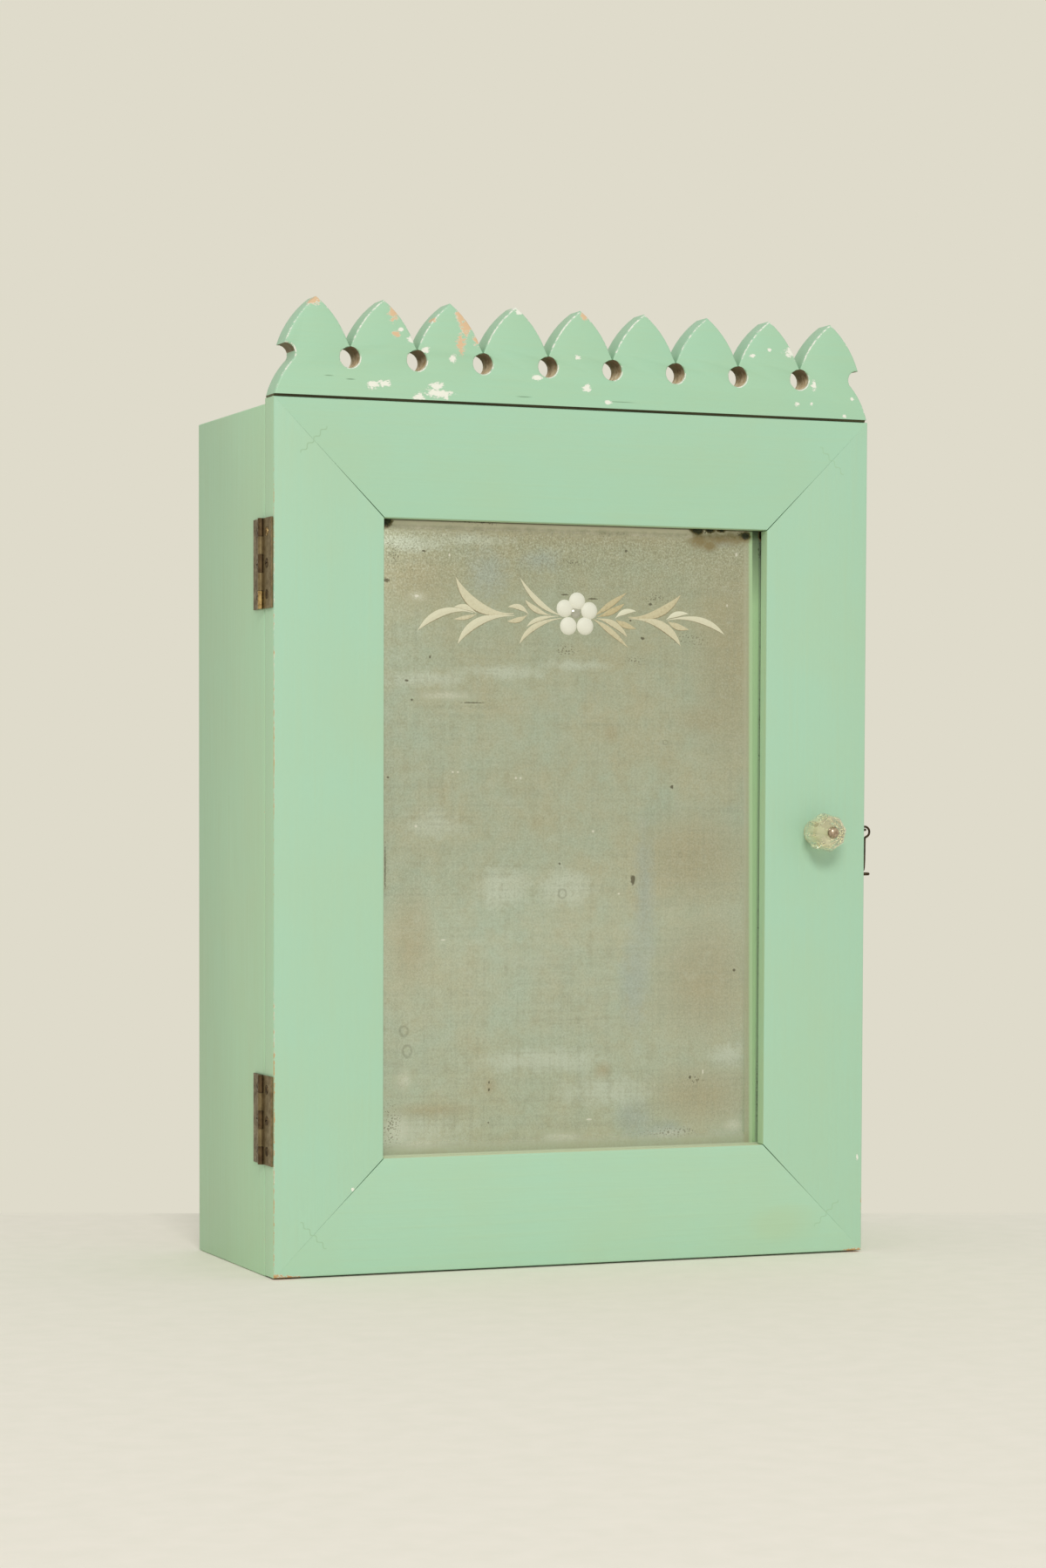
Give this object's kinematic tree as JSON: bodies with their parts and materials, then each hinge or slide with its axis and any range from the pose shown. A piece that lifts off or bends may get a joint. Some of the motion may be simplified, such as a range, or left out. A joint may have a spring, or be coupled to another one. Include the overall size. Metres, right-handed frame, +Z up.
{
  "type": "mirror cabinet",
  "caption": "Small wall cabinet with shelves behind a hinged mirror door, a sawn arched crest board, a glass knob and a wire hook.",
  "frame": {"origin": "middle of the carcass underside", "axes": "+Z up, the door faces -Y, +X to the viewer's right, the back lies on +Y"},
  "size_m": [0.3897, 0.1711, 0.5513],
  "materials": {
    "green_paint": "satin paint, chipped",
    "inner_paint": "matt paint",
    "aged_mirror": "silvered glass, clouded",
    "backing_board": "bare board",
    "old_brass": "tarnished",
    "nickel": "worn nickel plate",
    "dark_wire": "rusty dark wire",
    "pressed_glass": "pressed, clear with a yellow tint"
  },
  "bodies": {
    "carcass": {"back_panel": "inner_paint", "bottom_board": "green_paint", "cleat_screw_left": "dark_wire", "cleat_screw_right": "dark_wire", "crest": "green_paint", "crest_cleat": "green_paint", "crest_screw_left": "dark_wire", "crest_screw_right": "dark_wire", "hinge_leaf_carcass_lower": "old_brass", "hinge_leaf_carcass_upper": "old_brass", "hinge_pin_lower": "old_brass", "hinge_pin_upper": "old_brass", "hinge_screw_carcass_lower_1": "old_brass", "hinge_screw_carcass_lower_2": "old_brass", "hinge_screw_carcass_lower_3": "old_brass", "hinge_screw_carcass_upper_1": "old_brass", "hinge_screw_carcass_upper_2": "old_brass", "hinge_screw_carcass_upper_3": "old_brass", "hook_eye": "dark_wire", "shelf_lower": "inner_paint", "shelf_upper": "inner_paint", "side_left": "green_paint", "side_right": "green_paint", "top_board": "green_paint"},
    "door": {"brad_bottom": "dark_wire", "brad_left_lower": "dark_wire", "brad_left_upper": "dark_wire", "brad_right_lower": "dark_wire", "brad_right_upper": "dark_wire", "brad_top": "dark_wire", "corner_fastener_bottom_left": "dark_wire", "corner_fastener_bottom_right": "dark_wire", "corner_fastener_top_left": "dark_wire", "corner_fastener_top_right": "dark_wire", "hinge_leaf_door_lower": "old_brass", "hinge_leaf_door_upper": "old_brass", "hinge_screw_door_lower_1": "old_brass", "hinge_screw_door_lower_2": "old_brass", "hinge_screw_door_lower_3": "old_brass", "hinge_screw_door_upper_1": "old_brass", "hinge_screw_door_upper_2": "old_brass", "hinge_screw_door_upper_3": "old_brass", "knob_bolt": "nickel", "knob_glass": "pressed_glass", "knob_nut": "nickel", "knob_washer": "nickel", "latch_eye": "dark_wire", "mirror_backing": "backing_board", "mirror_glass": "aged_mirror", "rail_bottom": "green_paint", "rail_top": "green_paint", "stile_left": "green_paint", "stile_right": "green_paint"},
    "hook": {"hook": "dark_wire"}
  },
  "joints": [
    {"name": "door_hinge", "type": "hinge", "parent": "carcass", "child": "door", "pos_m": [-0.1871, -0.0635, 0.2478], "axis": [0, 0, -1], "range_deg": [0, 170]},
    {"name": "hook_swing", "type": "hinge", "parent": "carcass", "child": "hook", "pos_m": [0.1969, -0.0575, 0.2528], "axis": [0, -1, 0], "range_deg": [-8, 110]}
  ]
}
